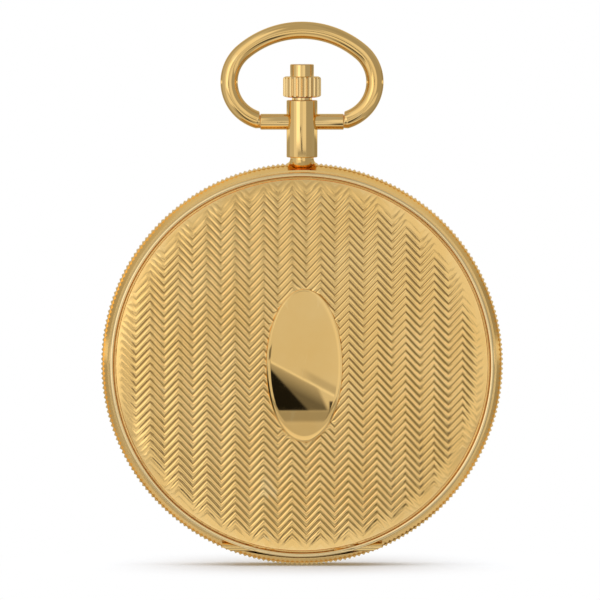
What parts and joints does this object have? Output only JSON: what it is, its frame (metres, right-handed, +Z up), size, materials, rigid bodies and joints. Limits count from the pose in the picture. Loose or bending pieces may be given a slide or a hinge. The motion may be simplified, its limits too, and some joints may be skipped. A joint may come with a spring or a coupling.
{
  "type": "quartz pocket watch",
  "caption": "Quartz pocket watch in a full hunter case: hinged front cover, push button in the fluted crown, milled edge and swinging bail.",
  "frame": {"origin": "centre of the bounding box, at its lowest level: the watch stands on its milled edge", "axes": "+Z up through the pendant, -Y out of the front cover, +X to three o'clock"},
  "size_m": [0.048, 0.01, 0.0648],
  "materials": {
    "gold": "polished gold plating",
    "steel": "bright",
    "brass": "satin",
    "rubber": "matte",
    "crystal": "clear",
    "dial_white": "semi-matte",
    "holder_white": "moulded",
    "coil_copper": "enamelled wire",
    "board_green": "solder mask",
    "hand_blue": "blued"
  },
  "bodies": {
    "case": {"case_band": "gold", "pendant": "gold", "bezel": "gold", "crystal_gasket": "rubber", "crystal": "crystal", "back_cover": "gold", "back_gasket": "rubber", "movement_ring": "holder_white", "dial": "dial_white", "main_plate": "brass", "train_bridge": "brass", "bridge_screws": "steel", "stator": "steel", "coil": "coil_copper", "circuit_board": "board_green", "quartz_oscillator": "steel", "button_cell": "steel", "cell_strap": "brass", "catch_screw": "steel", "lift_spring": "steel", "hinge_pin": "steel"},
    "front_cover": {"front_cover": "gold"},
    "bail": {"bail": "gold"},
    "clutch": {"clutch_wheel": "steel"},
    "crown": {"crown": "gold", "crown_stem": "steel", "crown_gasket": "rubber", "return_spring": "steel"},
    "button": {"push_button": "gold", "push_rod": "steel", "cross_pin": "steel", "release_collar": "brass"},
    "catch": {"catch_spring": "steel"},
    "setting_lever": {"setting_lever": "steel"},
    "rotor": {"rotor": "steel"},
    "fifth_wheel": {"fifth_wheel": "brass"},
    "third_wheel": {"third_wheel": "brass"},
    "second": {"second_wheel": "brass", "second_hand": "hand_blue"},
    "center": {"center_wheel": "brass", "cannon_pinion": "steel", "minute_hand": "hand_blue"},
    "minute_wheel": {"minute_wheel": "brass"},
    "hour": {"hour_wheel": "brass", "hour_hand": "hand_blue"},
    "setting_wheel": {"setting_wheel": "brass"}
  },
  "joints": [
    {"name": "cover_hinge", "type": "hinge", "parent": "case", "child": "front_cover", "pos_m": [0, -0.0024, 0.0023], "axis": [1, 0, 0], "range_deg": [0, 100]},
    {"name": "bail_swing", "type": "hinge", "parent": "case", "child": "bail", "pos_m": [0, 0.00075, 0.05287], "axis": [1, 0, 0], "range_deg": [-135, 135]},
    {"name": "crown_turn", "type": "hinge", "parent": "case", "child": "clutch", "pos_m": [0, 0.00075, 0.05577], "axis": [0, 0, 1], "continuous": true},
    {"name": "crown_pull", "type": "slide", "parent": "clutch", "child": "crown", "axis": [0, 0, 1], "range_m": [0, 0.0008]},
    {"name": "button_press", "type": "slide", "parent": "crown", "child": "button", "axis": [0, 0, -1], "range_m": [0, 0.0007], "stiffness_N_per_m": 2500, "springref_m": -0.0006, "deforming": ["return_spring"]},
    {"name": "catch_flex", "type": "hinge", "parent": "case", "child": "catch", "pos_m": [-0.01448, 0.00075, 0.03615], "axis": [0, 1, 0], "range_deg": [0, 2.5]},
    {"name": "lever_turn", "type": "hinge", "parent": "case", "child": "setting_lever", "pos_m": [0.0022, 0.00075, 0.036], "axis": [0, 1, 0], "range_deg": [0, 21]},
    {"name": "second_hand_turn", "type": "hinge", "parent": "case", "child": "second", "pos_m": [0, 0.00075, 0.024], "axis": [0, 1, 0], "continuous": true},
    {"name": "third_wheel_turn", "type": "hinge", "parent": "case", "child": "third_wheel", "pos_m": [-0.00265, 0.00075, 0.02247], "axis": [0, 1, 0], "continuous": true},
    {"name": "minute_hand_turn", "type": "hinge", "parent": "case", "child": "center", "pos_m": [0, 0.00075, 0.024], "axis": [0, 1, 0], "continuous": true},
    {"name": "minute_wheel_turn", "type": "hinge", "parent": "case", "child": "minute_wheel", "pos_m": [0, 0.00075, 0.027], "axis": [0, 1, 0], "continuous": true},
    {"name": "hour_hand_turn", "type": "hinge", "parent": "case", "child": "hour", "pos_m": [0, 0.00075, 0.024], "axis": [0, 1, 0], "continuous": true},
    {"name": "setting_wheel_turn", "type": "hinge", "parent": "case", "child": "setting_wheel", "pos_m": [0, 0.00075, 0.0305], "axis": [0, 1, 0], "continuous": true},
    {"name": "fifth_wheel_turn", "type": "hinge", "parent": "case", "child": "fifth_wheel", "pos_m": [0.0026, 0.00075, 0.0225], "axis": [0, 1, 0], "continuous": true},
    {"name": "rotor_turn", "type": "hinge", "parent": "case", "child": "rotor", "pos_m": [0.00372, 0.00075, 0.02056], "axis": [0, 1, 0], "continuous": true}
  ],
  "couplings": [
    {"joint": "catch_flex", "follows": "button_press", "rad_per_m": 59.2},
    {"joint": "lever_turn", "follows": "crown_pull", "rad_per_m": 449.5},
    {"joint": "third_wheel_turn", "follows": "second_hand_turn", "ratio": -0.13333},
    {"joint": "minute_hand_turn", "follows": "second_hand_turn", "ratio": 0.016667},
    {"joint": "minute_wheel_turn", "follows": "second_hand_turn", "ratio": -0.0055556},
    {"joint": "hour_hand_turn", "follows": "second_hand_turn", "ratio": 0.0013889},
    {"joint": "setting_wheel_turn", "follows": "second_hand_turn", "ratio": 0.01},
    {"joint": "fifth_wheel_turn", "follows": "second_hand_turn", "ratio": -5},
    {"joint": "rotor_turn", "follows": "second_hand_turn", "ratio": 30}
  ]
}
